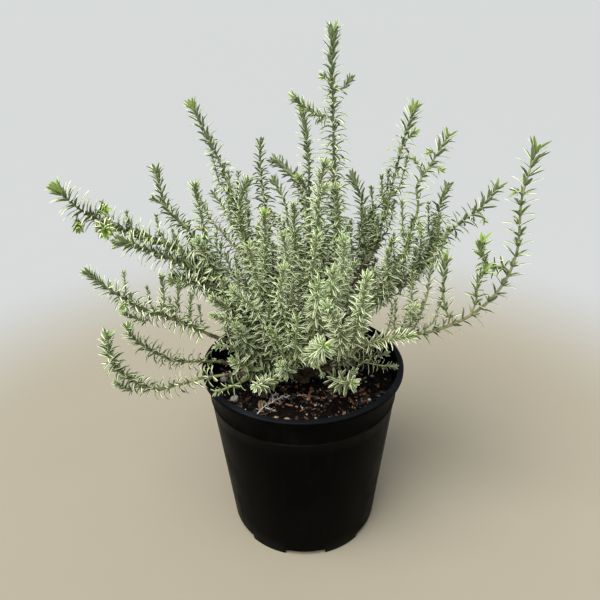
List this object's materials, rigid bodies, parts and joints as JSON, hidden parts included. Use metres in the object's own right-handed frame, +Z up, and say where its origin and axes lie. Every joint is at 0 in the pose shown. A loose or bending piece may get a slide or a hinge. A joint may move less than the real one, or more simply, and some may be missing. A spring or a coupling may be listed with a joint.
{
  "type": "potted coastal rosemary",
  "caption": "Bushy evergreen shrub with narrow grey-green whorled leaves on wiry stems, filling a round black tapered nursery pot.",
  "frame": {"origin": "on the pot's axis at the level its feet stand on, which is also the middle of the whole plant's footprint within 4 mm", "axes": "+Z up along the pot's axis, -Y towards the front, the side seen in the picture, +X to the viewer's right"},
  "size_m": [0.4287, 0.2675, 0.4931],
  "materials": {
    "pot_plastic": "satin",
    "potting_mix": "matte",
    "bark": "matte",
    "leaves": "satin"
  },
  "bodies": {
    "root": {"crown": "bark", "pot": "pot_plastic", "potting_mix": "potting_mix", "spray_back_leaning": "leaves", "spray_back_left_high": "leaves", "spray_back_left_inner": "leaves", "spray_back_left_low": "leaves", "spray_back_left_upright": "leaves", "spray_back_middle": "leaves", "spray_back_middle_left": "leaves", "spray_back_middle_low": "leaves", "spray_back_right": "leaves", "spray_back_right_high": "leaves", "spray_back_right_low": "leaves", "spray_centre_bright": "leaves", "spray_centre_front": "leaves", "spray_centre_left": "leaves", "spray_centre_left_front": "leaves", "spray_centre_left_small": "leaves", "spray_centre_right": "leaves", "spray_centre_tall": "leaves", "spray_front_left_curved": "leaves", "spray_front_left_inner": "leaves", "spray_front_left_leaning": "leaves", "spray_front_left_low": "leaves", "spray_front_left_pale": "leaves", "spray_front_left_upright": "leaves", "spray_front_middle": "leaves", "spray_front_middle_back": "leaves", "spray_front_middle_right": "leaves", "spray_front_reaching": "leaves", "spray_front_right_leaning": "leaves", "spray_front_right_low": "leaves", "spray_front_right_rim": "leaves", "spray_front_right_tall": "leaves", "spray_inner_left": "leaves", "spray_inner_left_bright": "leaves", "spray_inner_middle": "leaves", "spray_inner_right": "leaves", "spray_left_front_high": "leaves", "spray_left_front_pair": "leaves", "spray_left_front_rim": "leaves", "spray_left_front_short": "leaves", "spray_left_high": "leaves", "spray_left_inner": "leaves", "spray_left_inner_upright": "leaves", "spray_left_low": "leaves", "spray_left_middle": "leaves", "spray_left_rim": "leaves", "spray_left_upright": "leaves", "spray_right_high": "leaves", "spray_right_inner": "leaves", "spray_right_long": "leaves", "spray_right_low_upright": "leaves", "spray_tallest": "leaves", "spray_upper_left": "leaves", "spray_upper_left_inner": "leaves", "spray_upper_right": "leaves", "spray_upper_right_forked": "leaves"}
  },
  "joints": []
}
